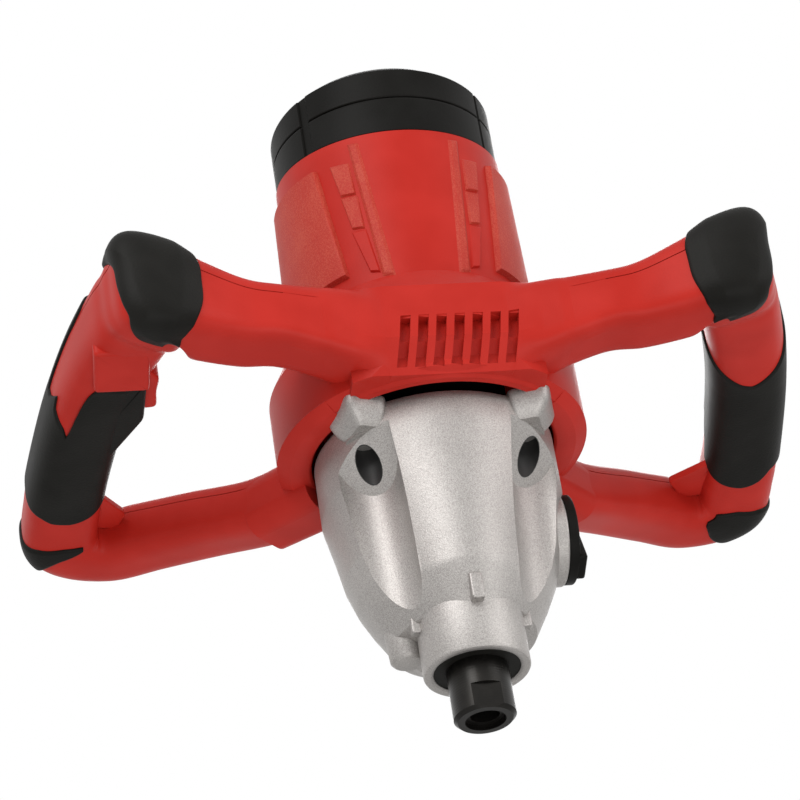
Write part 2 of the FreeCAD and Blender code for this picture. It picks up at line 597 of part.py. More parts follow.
deep = largest(loop.Shape.cut(lid_room.Shape).cut(hollow.Shape))
lid = largest(loop.Shape.cut(hollow.Shape).cut(deep.Shape))
keep(lid, "handle_right_lid")
keep(mirrored(lid), "handle_left_lid")
keep(deep, "handle_right_base")
corner_rows = LOOP[1:7]
ahead = feature(Part.makeBox(160, 160, 80, Vec(-80, -80, -80)))
AHEAD = FreeCAD.Rotation(Vec(0, 0, 1), Vec(-0.48, 0.863, 0.158))
ahead.Placement = FreeCAD.Placement(Vec(98, -71, 145), AHEAD)
bumper = cut(common(loop_solid(d.bumper_skin.value, corner_rows), ahead), loop)
grip = cut(common(loop_solid(d.grip_skin.value, LOOP[3:-3]), block(120, 98, 60, 90, -14, 85)), loop)
heel = cut(common(loop_solid(d.grip_skin.value, LOOP[6:-2]), block(60, 60, 120, 142, 98, 80)), loop)
for label, piece in (("front_bumper", bumper), ("grip", grip), ("rear_bumper", heel)):
    keep(piece, f"{label}_right")

block_plan = [Vec(x, y, 130) for x, y in ((-136, -44), (-119, -43), (-118.5, 6), (-134, 38))]
switch_block = feature(Part.Face(Part.makePolygon(block_plan + block_plan[:1])).extrude(Vec(0, 0, 24)))
switch_room = block(17.4, 31, 17, -143.4, -28.5, 136)
trigger_slot = block(16, 27, 15, -130, -25, 132.5)
inlet = rod(6, 24, -122, 108, 127.5)
inlet.Placement.Rotation = FreeCAD.Rotation(Vec(1, 0, 0), -90)
left = cut(fuse(mirrored(deep), cut(switch_block, mirrored(loop))), switch_room, trigger_slot, inlet)
keep(left, "handle_left_base")
for label, piece in (("front_bumper", bumper), ("grip", grip), ("rear_bumper", heel)):
    keep(cut(mirrored(piece), switch_block, trigger_slot), f"{label}_left")
inlet_bore = rod(3.6, 40, -122, 100, 127.5)
inlet_bore.Placement.Rotation = FreeCAD.Rotation(Vec(1, 0, 0), -90)
keep(cut(inlet, inlet_bore), "cable_inlet")
keep(block(12, 30, 16, -143, -28, 136.5), "switch_body")
keep(block(11.5, 26.4, 14.4, -125.2, -24.7, 132.8), "trigger")

os.makedirs("parts", exist_ok=True)
doc.recompute()
bad = [thing.Label for thing in doc.Objects if "Invalid" in thing.State or "Error" in thing.State]
bad += [piece.Label for piece in PARTS if piece.Shape.isNull() or not piece.Shape.isValid()]
if bad:
    raise SystemExit("These pieces failed: " + ", ".join(bad))
for piece in PARTS:
    piece.Shape.exportStep(os.path.join("parts", piece.Label + ".step"))
    print(piece.Label, len(piece.Shape.Solids), round(piece.Shape.Volume))
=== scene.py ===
# %% [markdown]
# # A two-handled mixing drill
#
# This lesson dresses a packed mechanical model. The frame already holds every gear, shell and screw
# at its real size, so each step below adds only what a camera sees: materials, moulded surfaces,
# soft light and the viewpoint. Every piece shares the model's own frame. Shapes are written in
# millimetres and become metres when their mesh is made; lamps and camera are in metres.

# %% Load the frame
import bmesh
import bpy
import json
import math
import numpy as np
from mathutils import Euler, Matrix, Vector


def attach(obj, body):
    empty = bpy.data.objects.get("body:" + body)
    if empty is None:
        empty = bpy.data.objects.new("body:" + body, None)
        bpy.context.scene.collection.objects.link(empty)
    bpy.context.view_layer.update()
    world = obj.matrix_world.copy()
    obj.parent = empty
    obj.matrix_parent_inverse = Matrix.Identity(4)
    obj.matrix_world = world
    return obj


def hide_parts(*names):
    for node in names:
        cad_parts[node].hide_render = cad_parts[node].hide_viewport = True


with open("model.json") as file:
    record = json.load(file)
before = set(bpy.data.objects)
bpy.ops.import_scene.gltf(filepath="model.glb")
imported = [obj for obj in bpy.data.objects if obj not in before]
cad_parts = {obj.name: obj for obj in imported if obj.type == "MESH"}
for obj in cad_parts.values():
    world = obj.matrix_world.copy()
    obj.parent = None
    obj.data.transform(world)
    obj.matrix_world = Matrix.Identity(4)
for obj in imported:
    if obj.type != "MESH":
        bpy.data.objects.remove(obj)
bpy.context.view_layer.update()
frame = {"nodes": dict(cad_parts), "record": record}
scene = bpy.context.scene
scene.view_settings.view_transform = "Standard"
print("nodes in the frame:", len(frame["nodes"]))

# %% [markdown]
# ## Shader maths that reads like maths
#
# A finish is a graph of nodes. It could be wired node by node, but it is easier to follow as a
# formula. So `Wire` wraps one output socket and turns `+`, `-` and `*` into Math nodes, `Graph` adds
# every other node by one method, for a material or for the world, and `Paint` is one material.

# %% Wire


class Wire:
    """One output socket of a graph, with arithmetic."""

    def __init__(self, graph, socket):
        self.graph = graph
        self.socket = socket

    def math(self, operation, other=0.0):
        return self.graph.node("ShaderNodeMath", operation=operation, i0=self, i1=other)

    def __add__(self, other):
        return self.math("ADD", other)

    def __sub__(self, other):
        return self.math("SUBTRACT", other)

    def __mul__(self, other):
        return self.math("MULTIPLY", other)

    def __rsub__(self, other):
        return self * -1.0 + other

    __radd__ = __add__
    __rmul__ = __mul__

    def step(self, low, high):
        """0 below low, 1 above high, and a smooth ramp between."""
        return self.graph.node("ShaderNodeMapRange", interpolation_type="SMOOTHSTEP",
                               i0=self, i1=low, i2=high)


# %% Graph


class Graph:
    """A node tree to which one method adds every kind of node."""

    def __init__(self, tree):
        self.tree = tree

    def node(self, kind, out=0, **given):
        """Adds a node and gives the wire of one output.

        Words that are settings of the node are set first. Then i0, i1 and so on fill sockets by
        position, and other words fill them by name.
        """
        made = self.tree.nodes.new(kind)
        sockets = {}
        for word, value in given.items():
            if hasattr(made, word):
                setattr(made, word, value)
            else:
                sockets[word] = value
        for word, value in sockets.items():
            by_position = word[0] == "i" and word[1:].isdigit()
            self.fill(made.inputs[int(word[1:]) if by_position else word.replace("_", " ")], value)
        return Wire(self, made.outputs[out])

    def fill(self, socket, value):
        """Links a wire to a socket or sets the socket's own value; three numbers are an opaque colour."""
        if isinstance(value, Wire):
            self.tree.links.new(value.socket, socket)
        elif hasattr(value, "__len__") and len(value) == 3 and socket.type == "RGBA":
            socket.default_value = (*value, 1)
        else:
            socket.default_value = value


# %% Paint


class Paint(Graph):
    """A material around one Principled shader, textured in the part's own coordinates."""

    def __init__(self, name):
        self.material = bpy.data.materials.new(name)
        self.material.use_nodes = True
        super().__init__(self.material.node_tree)
        self.shader = self.tree.nodes["Principled BSDF"]
        self.place = self.node("ShaderNodeTexCoord", out="Object")

    def noise(self, scale, detail=2.0, roughness=0.55):
        return self.node("ShaderNodeTexNoise", Vector=self.place, Scale=scale, Detail=detail,
                         Roughness=roughness)

    def mix(self, factor, first, second):
        """A blend of two colours, which are inputs 6 and 7 and output 2 of a Mix node."""
        return self.node("ShaderNodeMix", out=2, data_type="RGBA", i0=factor, i6=first, i7=second)

    def bump(self, height, distance, strength=1.0):
        self.set(Normal=self.node("ShaderNodeBump", Height=height, Distance=distance, Strength=strength))

    def set(self, **inputs):
        for word, value in inputs.items():
            self.fill(self.shader.inputs[word.replace("_", " ")], value)
        return self


# %% [markdown]
# ## Plastic and rubber
#
# Moulded plastic carries a fine spark-eroded grain and a slight unevenness of gloss. An image could
# show that too, but noise in the part's own coordinates needs no unwrapping and has no seam. The
# raised fields of the barrel have a coarser grain, whose peaks are rubbed paler.

# %% Mouldings


def moulded(name, colour, rough, grain, depth, shine, worn=0.12):
    """A grained moulding: a large soft drift of colour, a fine bump, gloss that varies by a few percent."""
    paint = Paint(name)
    drift = paint.noise(38)
    fine = paint.noise(grain)
    light = tuple(c * (1 + worn) + 0.004 for c in colour)
    paint.set(Base_Color=paint.mix(drift.step(0.3, 0.75), colour, light), Specular_IOR_Level=shine,
              Roughness=drift * 0.12 + fine * 0.06 + (rough - 0.09))
    paint.bump(fine, depth)
    return paint.material


def textured(name, colour, pale, rough):
    """A spark-eroded field: three quarters grain and one quarter patches choose between two colours."""
    paint = Paint(name)
    grain = paint.noise(1700, roughness=0.6)
    patch = paint.noise(60)
    peaks = (grain * 0.75 + patch * 0.25).step(0.42, 0.62)
    paint.set(Base_Color=paint.mix(peaks, colour, pale), Specular_IOR_Level=0.25,
              Roughness=grain * 0.2 + (rough - 0.1))
    paint.bump(grain, 0.0002)
    return paint.material


LOOKS = {
    "red": moulded("red_moulding", (0.43, 0.0185, 0.0115), 0.42, 1500, 0.00005, shine=0.12),
    "grained": textured("red_texture", (0.43, 0.024, 0.014), (0.50, 0.066, 0.038), 0.55),
    "black": moulded("black_moulding", (0.0040, 0.0036, 0.0028), 0.46, 1300, 0.00007, shine=0.08),
    "rubber": moulded("soft_rubber", (0.0052, 0.0047, 0.0036), 0.54, 1000, 0.00010, shine=0.12, worn=0.25),
}
print("mouldings:", ", ".join(LOOKS))

# %% [markdown]
# ## Metals
#
# The gearbox is blasted aluminium: tiny facets catch the light one by one. Real facets would take
# millions of faces, so a fine noise drives colour, roughness and bump together; in the colour its
# pale specks are painted glints of those facets over the blast's own grain. Turned steel gets
# rings from a sine of the height, and a smudged gloss.

# %% Casting and steels


def cast_metal(name, dark, pale, rough):
    """Blasted casting: two grain sizes and a cloud share the speckle of grain and painted glints, the two
    grains share the relief.
    """
    paint = Paint(name)
    fine = paint.noise(3000, roughness=0.7)
    coarse = paint.noise(1500, roughness=0.6)
    cloud = paint.noise(30)
    spark = fine * 0.6 + coarse * 0.3 + cloud * 0.1
    # The pale speckles in the base colour are painted glints, mixed with the casting's own grain.
    paint.set(Base_Color=paint.mix(spark.step(0.36, 0.64), dark, pale), Metallic=0.7,
              Roughness=coarse * 0.16 + (rough - 0.08))
    paint.bump(fine * 0.5 + coarse * 0.5, 0.00022, 0.6)
    return paint.material


def machined(name, colour, rough, metallic=1.0, rings=900.0):
    """Turned metal: sin(2 pi rings z) as fine rings across the axis, plus light smudging."""
    paint = Paint(name)
    height = paint.node("ShaderNodeSeparateXYZ", out=2, i0=paint.place)
    turning = (height * (rings * math.tau)).math("SINE")
    smudge = paint.noise(120, detail=3.0)
    dark = tuple(c * 0.72 for c in colour)
    paint.set(Base_Color=paint.mix(smudge.step(0.35, 0.7), dark, colour), Metallic=metallic,
              Roughness=smudge * 0.22 + turning * 0.02 + (rough - 0.1))
    paint.bump(turning, 0.00002, 0.3)
    return paint.material


LOOKS.update({
    "cast": cast_metal("blasted_casting", (0.29, 0.272, 0.258), (0.50, 0.475, 0.455), 0.44),
    "steel": machined("bright_steel", (0.60, 0.60, 0.59), 0.30),
    "oxide": machined("black_oxide", (0.016, 0.0145, 0.0125), 0.32, 0.7),
    "copper": machined("winding_copper", (0.62, 0.27, 0.12), 0.38, 0.9, 1600.0),
    # This dark carbon look also lines the front screw holes as painted shade.
    "carbon": machined("carbon_block_and_painted_shade", (0.035, 0.034, 0.033), 0.55, 0.3),
})

# %% Looks on the frame's nodes
slot_of = {entry["node"]: entry["material_slot"] for entry in frame["record"]["subparts"]}
for name, thing in frame["nodes"].items():
    thing.data.materials.clear()
    thing.data.materials.append(LOOKS[slot_of[name]])
print("looks:", len(LOOKS), "on", len(slot_of), "nodes")

# %% [markdown]
# ## Surfaces from arrays
#
# Every moulded piece below is a grid of points that a formula gives. Modelling by hand would be as
# quick once, but a formula can be corrected by one number. A tube is a row of rings whose two ends
# are closed by fans of triangles.

# %% Grids and tubes


def grid_faces(rows, columns, wrap, first=0):
    """Quads of a grid of points numbered row by row; wrap joins the last column to the first."""
    across = columns if wrap else columns - 1
    r, c = np.meshgrid(np.arange(rows - 1), np.arange(across), indexing="ij")
    n = (c + 1) % columns
    quads = np.stack([r * columns + c, r * columns + n, (r + 1) * columns + n, (r + 1) * columns + c], -1)
    return (quads.reshape(-1, 4) + first).tolist()


def tube(rings):
    """Points and faces of a tube through rings of points, closed by a fan about the middle of each end."""
    rows, columns = rings.shape[:2]
    count = rows * columns
    points = np.vstack([rings.reshape(-1, 3), rings[0].mean(axis=0), rings[-1].mean(axis=0)])
    here = np.arange(columns)
    ahead = np.roll(here, -1)
    first = np.column_stack([np.full(columns, count), ahead, here])
    last = np.column_stack([np.full(columns, count + 1), here + count - columns, ahead + count - columns])
    return points, grid_faces(rows, columns, True) + first.tolist() + last.tolist()


# %% Meshes and pieces
MM = 0.001
SAME_POINT = 1e-7


def closed_mesh(name, points, faces):
    """A mesh from millimetre points, its doubles merged and its faces turned outwards."""
    mesh = bpy.data.meshes.new(name)
    mesh.from_pydata((np.asarray(points).reshape(-1, 3) * MM).tolist(), [], faces)
    work = bmesh.new()
    work.from_mesh(mesh)
    bmesh.ops.remove_doubles(work, verts=work.verts, dist=SAME_POINT)
    bmesh.ops.recalc_face_normals(work, faces=work.faces)
    work.to_mesh(mesh)
    work.free()
    return mesh


def piece(name, points, faces, slot, *nodes, body="housing", crease=38, look=None):
    """One visible piece, which rides on a body and may stand for nodes of the frame.

    Edges that turn by more than crease degrees stay sharp, and only faces with four corners are smooth.
    """
    mesh = closed_mesh(name, points, faces)
    mesh.shade_smooth()
    mesh.set_sharp_from_angle(angle=math.radians(crease))
    corners = np.empty(len(mesh.polygons), np.int32)
    mesh.polygons.foreach_get("loop_total", corners)
    mesh.polygons.foreach_set("use_smooth", corners == 4)
    mesh.materials.append(LOOKS[look or slot])
    made = bpy.data.objects.new(name, mesh)
    scene.collection.objects.link(made)
    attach(made, body)
    if nodes:
        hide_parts(*nodes)
    print(f"{name}: {len(corners)} faces")
    return made


# %% [markdown]
# ## The handle loop
#
# Each handle is one closed loop: a front arm, a thick corner, the grip and a rear arm. A curve object
# with a bevel could follow it, but its section would keep one shape. Here eighteen rows give centre,
# heading, width and height, and a Catmull-Rom curve runs through them.

# %% The loop's path
# Each row: x, y and z of the centre, heading in degrees, width and height of the section.
LOOP = np.array([
    (38, -40.5, 133.7, 0, 31.5, 34), (66, -47.5, 137, 0, 29.2, 27.2), (82, -49, 138.5, -8, 30, 29),
    (99, -54, 141.5, -12, 31, 34), (116, -62, 146, 40, 37, 43), (121, -53.5, 146.8, 56, 35.5, 41.5),
    (123.5, -48, 147.3, 62, 33.6, 36.5), (126.5, -41, 147.3, 68, 33, 35.5),
    (134.5, -15, 147, 75, 32.6, 33.6), (141.6, 15, 145, 79, 32, 32), (147, 49.5, 141.6, 84, 31.8, 30),
    (150, 80, 138, 90, 32.4, 28.6), (148.8, 101.5, 134.8, 122, 34, 27.4),
    (131, 108.6, 132.8, 188, 29.6, 26.4), (112, 98.5, 130.6, 212, 28.6, 26.2),
    (90, 82, 125.2, 219, 27.8, 25.6), (66, 61.6, 117.4, 224, 27.2, 25.2),
    (48, 45.7, 115.5, 224, 29, 26.5)], float)
STEPS = 20
# The run along the loop is 0 where the front arm passes this x; x only rises over the first ten rows.
RUN_ZERO_X = 66
RISING = slice(0, 10 * STEPS)


def curve(rows):
    """Catmull-Rom: p(f) = (2b + (c-a)f + (2a-5b+4c-d)f^2 + (3b-a-3c+d)f^3) / 2 from row b to row c."""
    ends = np.vstack([rows[:1], rows, rows[-1:]])
    a, b, c, d = (ends[k:len(ends) - 3 + k, None] for k in range(4))
    f = np.linspace(0, 1, STEPS, endpoint=False)[None, :, None]
    square = 2 * a - 5 * b + 4 * c - d
    cube = 3 * b - a - 3 * c + d
    spans = (2 * b + (c - a) * f + square * f ** 2 + cube * f ** 3) / 2
    return np.vstack([spans.reshape(-1, rows.shape[1]), rows[-1:]])


def lengths(points):
    """Distance along a line of points, from 0 at the first one."""
    return np.append(0, np.cumsum(np.linalg.norm(np.diff(points, axis=0), axis=1)))


FINE = curve(LOOP)
RUN = lengths(FINE[:, :3])
RUN -= np.interp(RUN_ZERO_X, FINE[RISING, 0], RUN[RISING])
print(f"loop: {RUN[-1] - RUN[0]:.0f} mm")

# %% [markdown]
# ## Base and lid of the handles
#
# The section is a superellipse, nearly square on the arms and rounder where the hand holds it. The
# real shell leaves the mould as a deep base and a shallow lid. A groove in one skin could show where
# they meet, but two skins keep the halves apart, and the gap between them is the parting line.

# %% The loop's surface
# Run along the loop against the power of the superellipse.
SQUARENESS = ([0, 30, 60, 90, 130, 220, 265, 310], [4.6, 4.4, 3.8, 3.3, 2.7, 2.8, 3.4, 4.0])
MEAN_POWER = 0.6


def signed_power(value, power):
    """The sign of a value times its size to a power."""
    return np.sign(value) * np.abs(value) ** power


def on_loop(run, angle, grow=0.0):
    """Points at a distance run along the loop, at an angle round it and grow above its surface.

    u = a sgn(cos) |cos|^(2/p) points outwards, v = b sgn(sin) |sin|^(2/p) upwards.
    """
    x, y, z, heading, width, height = (np.interp(run, RUN, column) for column in FINE.T)
    power = 2 / np.interp(run, *SQUARENESS)
    u = (width / 2 + grow) * signed_power(np.cos(angle), power)
    v = (height / 2 + grow) * signed_power(np.sin(angle), power)
    turn = np.radians(heading)
    return np.stack([x + u * np.sin(turn), y - u * np.cos(turn), z + v], -1)


def even(first, last, count):
    """Angles from first to last that are evenly spaced along a superellipse of middle squareness."""
    angle = np.linspace(first, last, 40 * count)
    path = lengths(signed_power(np.stack([np.cos(angle), np.sin(angle)], -1), MEAN_POWER))
    return np.interp(np.linspace(0, path[-1], count), path, angle)


# %% Base and lid
SIDES = ((1, "right"), (-1, "left"))
SEAM, SEAM_GAP = 0.44, 0.03


def flip(points, side):
    """The same points on the right (side 1) or the left (side -1)."""
    return points * np.array([side, 1, 1])


along = np.linspace(RUN[0], RUN[-1], 330)[:, None]
half_power = np.interp(along, *SQUARENESS) / 2
low = np.arcsin(SEAM ** half_power)
high = np.arcsin((SEAM + SEAM_GAP) ** half_power)
sweep = even(np.pi, 2 * np.pi, 73) / np.pi - 1
base = on_loop(along, np.pi - low + (np.pi + 2 * low) * sweep)
lid = on_loop(along, high + (np.pi - 2 * high) * sweep)
for side, word in SIDES:
    piece(f"handle_{word}_base_skin", *tube(flip(base, side)), "red", f"handle_{word}_base")
    piece(f"handle_{word}_lid_skin", *tube(flip(lid, side)), "red", f"handle_{word}_lid")

# %% [markdown]
# ## The bridge
#
# A flat-fronted bridge joins both front arms. A block with chamfered edges would need a join at each
# arm. Instead, each section is a distance from a middle point as a function of the angle: near the
# centre that of a polygon, at the arms that of a superellipse. A straight blend between the two
# gives the slanted shoulders.

# %% Bridge sections
# (y, z) corners of the section at the centre, and half widths along x.
PANEL = np.array([(-47, 111), (-55, 124), (-52, 151), (-25, 153), (-25, 127), (-43.5, 111.2)], float)
PANEL_MIDDLE = np.array([-40.0, 132.0])
PANEL_SKIN = 0.25
PANEL_HALF, SHOULDER, BRIDGE_HALF = 25, 13, 58
# How far the bridge stands above the arm's own surface, against x.
OVER_ARM = ([47, BRIDGE_HALF], [0.3, -0.6])


def polygon_reach(corners, angle):
    """Distance from the middle of a convex polygon to its rim: the least d / (n . direction)."""
    ahead = np.roll(corners, -1, axis=0) - corners
    normal = np.stack([ahead[:, 1], -ahead[:, 0]], -1) / np.linalg.norm(ahead, axis=1)[:, None]
    away = np.sum(normal * corners, axis=1)
    facing = (normal * np.sign(away)[:, None]) @ np.stack([np.cos(angle), np.sin(angle)])
    return np.min(np.abs(away)[:, None] / np.maximum(facing, 1e-6), axis=0)


def bridge_rings():
    """Sections at x: reach = (1 - w) polygon + w superellipse, w rising from 0 to 1 over the shoulder."""
    corners = (PANEL - PANEL_MIDDLE) * (-1, 1)
    corner_angle = np.arctan2(corners[:, 1], corners[:, 0])
    angle = np.sort(np.append(np.radians(np.arange(-179, 180, 3)), corner_angle))
    flat = polygon_reach(corners, angle) + PANEL_SKIN
    x = np.linspace(-BRIDGE_HALF, BRIDGE_HALF, 2 * BRIDGE_HALF + 1)[:, None]
    arm_rows = FINE[:2 * STEPS].T
    y, z, wide, high = (np.interp(np.abs(x), arm_rows[0], arm_rows[k]) for k in (1, 2, 4, 5))
    grow = np.interp(np.abs(x), *OVER_ARM)
    power = SQUARENESS[1][0]
    arm = ((np.abs(np.cos(angle)) / (wide / 2 + grow)) ** power
           + (np.abs(np.sin(angle)) / (high / 2 + grow)) ** power) ** (-1 / power)
    w = np.clip((np.abs(x) - PANEL_HALF) / SHOULDER, 0, 1)
    reach = (1 - w) * flat + w * arm
    middle_y = (1 - w) * PANEL_MIDDLE[0] + w * y
    middle_z = (1 - w) * PANEL_MIDDLE[1] + w * z
    return np.stack([x + 0 * reach, middle_y - reach * np.cos(angle), middle_z + reach * np.sin(angle)], -1)


bridge = piece("bridge_skin", *tube(bridge_rings()), "red", crease=16)

# %% [markdown]
# ## Cooling slots
#
# Seven leaning slots in the bridge pass the motor's cooling air. They are cut by a Boolean, because a
# cut keeps crisp edges where a dark strip on the surface would look painted. The cut is applied at
# once, so that the piece is a plain mesh again.

# %% Cutting


def joined(parts):
    """Several sets of points and faces as one set."""
    points, faces, count = [], [], 0
    for some, polygons in parts:
        flat = np.asarray(some).reshape(-1, 3)
        points.append(flat)
        faces += [[k + count for k in polygon] for polygon in polygons]
        count += len(flat)
    return np.concatenate(points), faces


def bored(thing, *tools, crease=16):
    """Takes the tools' volume out of a piece for good."""
    drill = bpy.data.objects.new("tool", closed_mesh("tool", *joined(tools)))
    scene.collection.objects.link(drill)
    step = thing.modifiers.new("bore", "BOOLEAN")
    step.operation = "DIFFERENCE"
    step.solver = "EXACT"
    step.object = drill
    bpy.context.view_layer.update()
    done = bpy.data.meshes.new_from_object(thing.evaluated_get(bpy.context.evaluated_depsgraph_get()))
    thing.modifiers.remove(step)
    thing.data = done
    bpy.data.objects.remove(drill)
    thing.data.set_sharp_from_angle(angle=math.radians(crease))
    print(f"{thing.name}: {len(tools)} cuts, {len(done.polygons)} faces")


# %% Slots
SLOTS, SLOT_PITCH, SLOT_SHIFT, SLOT_HALF = 7, 7.4, 1.8, 2.1
SLOT_FOOT, SLOT_LEAN = 113.5, math.tan(math.radians(10))
# (y, z) corners of a slot seen from the side; the floor lies deeper towards the top.
SLOT_SIDE = np.array([(-64, 113.2), (-64, 135.4), (-49.3, 135.0), (-51.2, 124), (-45.2, 113.6)])


def cooling_slot(middle):
    """A leaning slot between x = middle + (z - foot) tan(lean) less and plus half its width."""
    lean = middle + (SLOT_SIDE[:, 1] - SLOT_FOOT) * SLOT_LEAN
    return tube(np.array([np.column_stack([lean + half, SLOT_SIDE]) for half in (-SLOT_HALF, SLOT_HALF)]))


bored(bridge, *[cooling_slot(SLOT_PITCH * (k - SLOTS // 2) + SLOT_SHIFT) for k in range(SLOTS)])

# %% [markdown]
# ## The bowl's lip
#
# Round the gearbox the motor bowl ends in a rolled lip, which stiffens its edge. A Screw modifier
# could turn the profile about the motor's axis, but would leave both ends open. A tube through
# turned copies of it is closed, and it stops short of the two front corners.

# %% Lip
MOTOR_Y = 14.83
# (radius, height) points of the profile, and the angles from the front where it ends.
LIP = np.array([(65.15, 113.2), (62.6, 111.2), (60, 109.8), (57, 109.2), (54, 109.25), (52, 109.8),
                (51, 110.8), (50.8, 112), (50.8, 115), (58, 116), (64, 115)])
LIP_ENDS = (49.5, 310.5)


def about_motor(turn, radius, height):
    """Points about the motor's axis: x = r sin(turn), y = axis - r cos(turn), so 0 faces the front."""
    return np.stack([radius * np.sin(turn), MOTOR_Y - radius * np.cos(turn), height + 0 * turn], -1)


lip_turn = np.radians(np.linspace(*LIP_ENDS, 180))[:, None]
bowl_lip = piece("bowl_lip", *tube(about_motor(lip_turn, *LIP.T)), "red")

# %% [markdown]
# ## Rubber on the loop
#
# Bumpers and grips are pads on the same loop. A pad is bounded along the loop by two curves of the
# angle, so its outline follows the mesh lines exactly, which a texture mask could not do. Its
# thickness rises from the rim as a quarter circle, or as a bevel for the hard corner bumpers.

# %% Skins and soft edges


def shell(outer, inner, wrap=False):
    """Points and faces of two skins sewn together along their rim."""
    rows, columns = outer.shape[:2]
    count = rows * columns
    faces = grid_faces(rows, columns, wrap) + grid_faces(rows, columns, wrap, count)
    index = np.arange(count).reshape(rows, columns)
    rims = [index[0], index[-1]] if wrap else [index[0], index[-1], index[:, 0], index[:, -1]]
    for rim in rims:
        line = np.append(rim, rim[0]) if wrap else rim
        faces += np.stack([line[:-1], line[1:], line[1:] + count, line[:-1] + count], -1).tolist()
    return np.concatenate([outer.reshape(-1, 3), inner.reshape(-1, 3)]), faces


def ease(count):
    """0 to 1 in steps that are finer at both ends: (1 - cos(pi k / n)) / 2."""
    return (1 - np.cos(np.linspace(0, np.pi, count))) / 2


def soften(line, times, wrap=False):
    """Averages each point with its neighbours, (a + 2b + c) / 4, to wear corners round."""
    for _ in range(times):
        if wrap:
            line = (np.roll(line, 1, axis=0) + 2 * line + np.roll(line, -1, axis=0)) / 4
        else:
            line[1:-1] = (line[:-2] + 2 * line[1:-1] + line[2:]) / 4
    return line


def quarter_round(distance, radius):
    """0 at the rim and 1 from radius inwards, along a quarter circle: sqrt(1 - (1 - x)^2)."""
    return np.sqrt(1 - (1 - np.clip(distance / radius, 0, 1)) ** 2)


# %% One pad
PAD_ROOT = 1.5
HARD_EDGE, HARD_SHARE = 0.7, 0.4


def rim_curve(rows, angle, smooth, wrap):
    """Run along the loop at each angle, between (degrees, run) rows."""
    degrees, run = np.array(rows, float).T
    return soften(np.interp(np.degrees(angle), degrees, run), smooth, wrap)


def pad(node, side, begin, end, skin, bevel, wrap=False, hard=False, rows=70, columns=120, smooth=1):
    """A rubber pad between two rim curves, which stands for a node of the frame.

    Thickness = skin times a quarter round of the rim distance; a hard pad mixes a small round edge
    with a straight bevel.
    """
    first, last = begin[0][0], begin[-1][0]
    angle = even(math.radians(first), math.radians(last), columns + wrap)[:columns]
    start = rim_curve(begin, angle, smooth, wrap)
    stop = rim_curve(end, angle, smooth, wrap)
    run = start + (stop - start) * ease(rows)[:, None]
    rim = np.minimum(run - start, stop - run)
    if not wrap:
        path = lengths(on_loop((start + stop) / 2, angle))
        rim = np.minimum(rim, np.minimum(path, path[-1] - path))
    if hard:
        edge = quarter_round(rim, HARD_EDGE)
        rise = HARD_SHARE * edge + (1 - HARD_SHARE) * np.clip(rim / bevel, 0, 1)
    else:
        rise = quarter_round(rim, bevel)
    outer = on_loop(run, angle, skin * rise)
    inner = on_loop(run, angle, -PAD_ROOT)
    piece(f"{node}_skin", *shell(flip(outer, side), flip(inner, side), wrap), "rubber", node)


# %% [markdown]
# ## Bumpers, grips and heels
#
# Corner bumpers take knocks, soft grips wrap the loops, and small heels guard the rear corners. Their
# rims could be drawn with the knife; as pairs of degrees round the loop and millimetres along it,
# each point can still be moved. The left grip has a notch, where the switch housing points into it.

# %% Rims of the pads
# (degrees, run) points of the first and the last rim; 0 degrees is outwards and 90 is up.
BUMPER = ([(-95, 48), (-91, 46), (-87, 42.5), (-69, 40), (-47, 39), (-4, 36.7), (13, 36.5), (60, 38.5),
           (90, 44), (106, 53), (112, 58)],
          [(-95, 59), (-91, 60.5), (-86, 61.5), (-80, 61), (-69, 59), (-48, 55.5), (-10, 56.5), (2, 57.5),
           (30, 66), (38, 69), (90, 69), (106, 65), (112, 61)])
GRIPS = {
    "right": ([(0, 97), (32, 88), (90, 88), (150, 94), (200, 103), (238, 114), (262, 121), (270, 122.5),
               (286, 118), (322, 109), (360, 97)],
              [(0, 184), (60, 182), (100, 165), (172, 165), (186, 188), (210, 192), (238, 194.5),
               (268, 196.5), (284, 193), (302, 187), (360, 184)]),
    "left": ([(0, 130), (8, 131), (13, 126), (18, 88), (40, 84), (90, 88), (150, 100), (195, 100),
              (240, 100), (280, 103), (288, 109), (292, 118), (295, 139), (306, 134), (338, 128),
              (343, 122), (360, 130)],
             [(0, 191), (60, 187), (100, 165), (172, 165), (186, 186), (210, 189), (238, 193),
              (268, 196.5), (284, 196), (302, 194), (330, 193), (360, 191)]),
}
HEELS = {
    "right": ([(-120, 220), (-112, 218), (-90, 214), (-60, 213), (0, 215), (40, 217), (70, 222)],
              [(-120, 233), (-112, 236), (-90, 235.5), (-60, 233), (0, 231), (40, 230), (70, 228)]),
    "left": ([(-116, 216.5), (-110, 215.5), (-90, 214), (-60, 213.5), (0, 215), (40, 217), (70, 222)],
             [(-116, 219), (-110, 220), (-90, 221.5), (-60, 224), (0, 229), (40, 229), (70, 226)]),
}
for side, word in SIDES:
    pad(f"front_bumper_{word}", side, *BUMPER, skin=2.6, bevel=5.0, hard=True, smooth=12)
    pad(f"grip_{word}", side, *GRIPS[word], skin=1.0, bevel=1.6, wrap=True, rows=110, columns=240)
    pad(f"rear_bumper_{word}", side, *HEELS[word], skin=1.2, bevel=1.6)

# %% [markdown]
# ## Switch block
#
# A red block on the left handle holds the trigger, and a rubber boot closes it towards the grip.
# Such upright mouldings are stacks of one rounded outline: each level may shrink by an inset, which
# rounds the upper and lower edges without a Bevel modifier.

# %% Stacks of an outline


def outline(corners, step=0.8, rounding=6):
    """A closed polygon sampled evenly, its corners worn round by repeated averaging."""
    loop = np.array([*corners, corners[0]], float)
    path = lengths(loop)
    at = np.linspace(0, path[-1], int(path[-1] / step), endpoint=False)
    return soften(np.stack([np.interp(at, path, column) for column in loop.T], -1), rounding, True)


